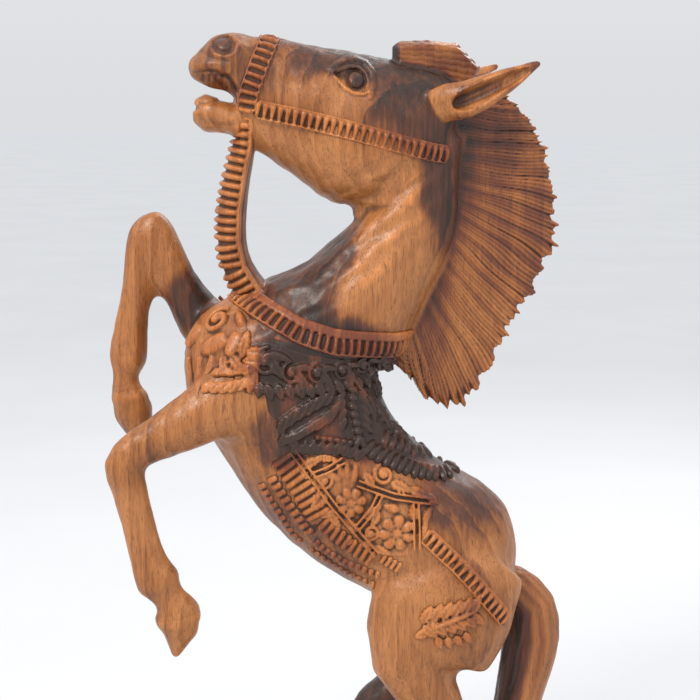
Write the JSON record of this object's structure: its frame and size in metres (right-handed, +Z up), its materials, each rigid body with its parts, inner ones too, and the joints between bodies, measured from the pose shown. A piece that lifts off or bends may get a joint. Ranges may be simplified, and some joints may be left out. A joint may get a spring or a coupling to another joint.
{
  "type": "carved wooden horse figurine",
  "caption": "Rearing horse statuette carved in oiled hardwood, with ladder-cut reins, saddle, fringed saddle cloth and fanned mane, standing on a slab base.",
  "frame": {"origin": "centre of the flat underside of the slab base", "axes": "+Z up, the horse faces -X, its left side is -Y"},
  "size_m": [0.2757, 0.12, 0.5149],
  "materials": {
    "carved_wood": "satin oiled hardwood, golden orange sapwood with brown heartwood",
    "red_heartwood": "satin oiled red-brown heartwood with grooved strands",
    "tack_wood": "satin oiled wood, gouge cut, darker in the cuts",
    "dark_stain": "near-black heartwood, satin, carved feathers and beads",
    "dowel_wood": "plain pale dowel"
  },
  "bodies": {
    "root": {"base": "carved_wood", "hoof_pegs": "dowel_wood", "torso": "carved_wood", "neck": "carved_wood", "head": "carved_wood", "lower_jaw": "carved_wood", "ear_left": "carved_wood", "ear_right": "carved_wood", "forelock": "red_heartwood", "mane": "red_heartwood", "foreleg_left": "carved_wood", "foreleg_right": "carved_wood", "fore_hoof_left": "carved_wood", "fore_hoof_right": "carved_wood", "hind_leg_left": "carved_wood", "hind_leg_right": "carved_wood", "hind_hoof_left": "carved_wood", "hind_hoof_right": "carved_wood", "tail": "red_heartwood", "noseband": "tack_wood", "cheek_strap_left": "tack_wood", "cheek_strap_right": "tack_wood", "rein_left": "tack_wood", "rein_right": "tack_wood", "collar": "tack_wood", "collar_leaves_left": "dark_stain", "collar_leaves_right": "dark_stain", "shoulder_carving_left": "tack_wood", "shoulder_carving_right": "tack_wood", "saddle": "dark_stain", "saddle_cloth_left": "tack_wood", "saddle_cloth_right": "tack_wood", "girth_fringe_left": "tack_wood", "girth_fringe_right": "tack_wood", "crupper_strap_left": "tack_wood", "crupper_strap_right": "tack_wood", "hip_carving_left": "tack_wood", "hip_carving_right": "tack_wood"}
  },
  "joints": []
}
